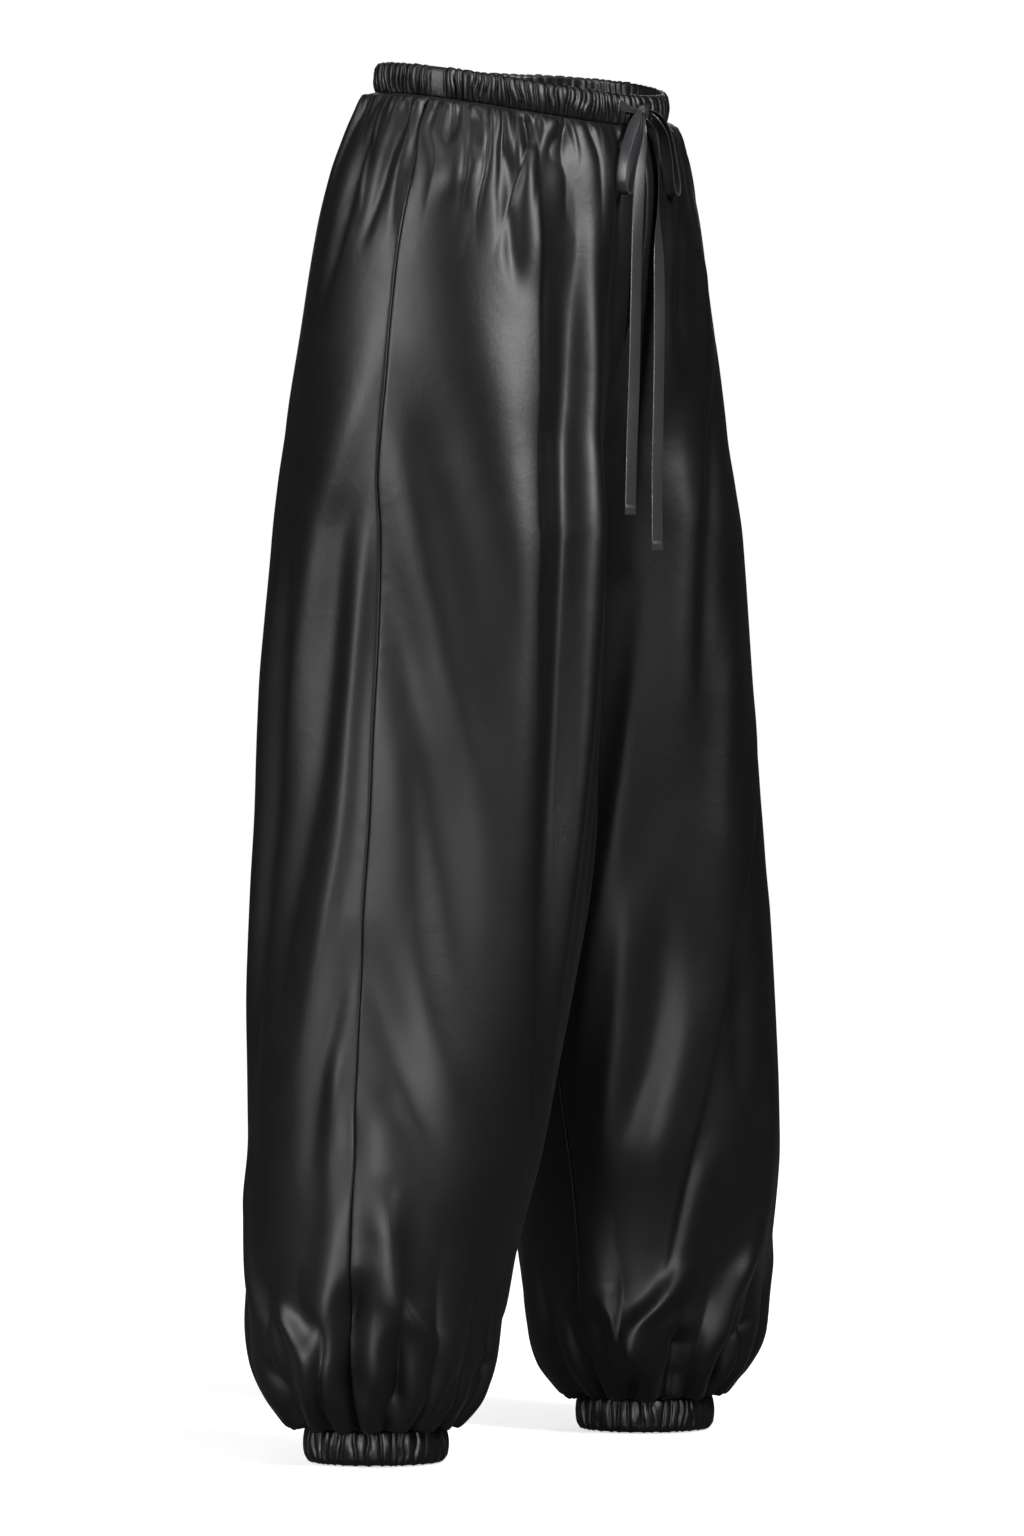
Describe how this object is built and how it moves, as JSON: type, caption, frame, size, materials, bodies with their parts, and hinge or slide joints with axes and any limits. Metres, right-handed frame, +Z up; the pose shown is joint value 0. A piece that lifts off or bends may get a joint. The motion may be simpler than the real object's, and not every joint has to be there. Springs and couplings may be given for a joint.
{
  "type": "balloon pants",
  "caption": "Satin balloon pants, filled out and worn-shaped, with a gathered elastic waistband, gathered ankle cuffs and a ribbon drawstring bow",
  "frame": {"origin": "middle of the waist opening, at half the height of the waistband, where the wearer's waist holds the garment", "axes": "+Z up along the garment, -Y the wearer's front, +X the wearer's left"},
  "size_m": [0.5234, 0.2717, 1.0442],
  "materials": {
    "satin": "black polyester satin, soft sheen",
    "satin_casing": "black polyester satin gathered over elastic",
    "satin_ribbon": "black satin ribbon, brighter sheen"
  },
  "bodies": {
    "root": {"front_right": "satin", "back_right": "satin", "front_left": "satin", "back_left": "satin", "waistband": "satin_casing", "cuff_right": "satin_casing", "cuff_left": "satin_casing", "drawstring_knot": "satin_ribbon", "lead_right": "satin_ribbon", "lead_left": "satin_ribbon", "loop_right": "satin_ribbon", "loop_left": "satin_ribbon", "tail_right": "satin_ribbon", "tail_left": "satin_ribbon"}
  },
  "joints": []
}
